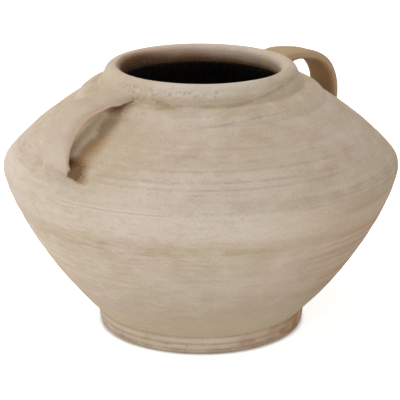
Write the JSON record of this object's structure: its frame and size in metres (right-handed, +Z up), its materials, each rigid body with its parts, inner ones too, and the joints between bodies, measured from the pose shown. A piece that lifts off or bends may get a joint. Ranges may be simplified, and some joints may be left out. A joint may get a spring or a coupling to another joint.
{
  "type": "two-handled clay pot",
  "caption": "Wide keeled unglazed clay pot on a low foot ring, with a convex collar, a short neck, a thick rounded lip and strap handles from neck to shoulder.",
  "frame": {"origin": "centre of the circle that the foot ring stands on, on the pot's axis", "axes": "+Z up along the pot's axis; +X through the higher handle, the right one in the picture; -X through the lower one"},
  "size_m": [0.34, 0.34, 0.231],
  "materials": {
    "body_clay": "matte unglazed, pale slip over sandy clay",
    "lip_clay": "matte unglazed, smoothed by hand",
    "foot_clay": "matte unglazed, worn",
    "floor_clay": "matte bare clay",
    "handle_clay": "matte unglazed, finger-smoothed"
  },
  "bodies": {
    "root": {"foot_ring": "foot_clay", "floor_disc": "floor_clay", "lower_bowl": "body_clay", "upper_shoulder": "body_clay", "neck_collar": "body_clay", "neck_and_lip": "lip_clay", "left_handle": "handle_clay", "left_upper_luting": "handle_clay", "left_lower_luting": "handle_clay", "right_handle": "handle_clay", "right_upper_luting": "handle_clay", "right_lower_luting": "handle_clay"}
  },
  "joints": []
}
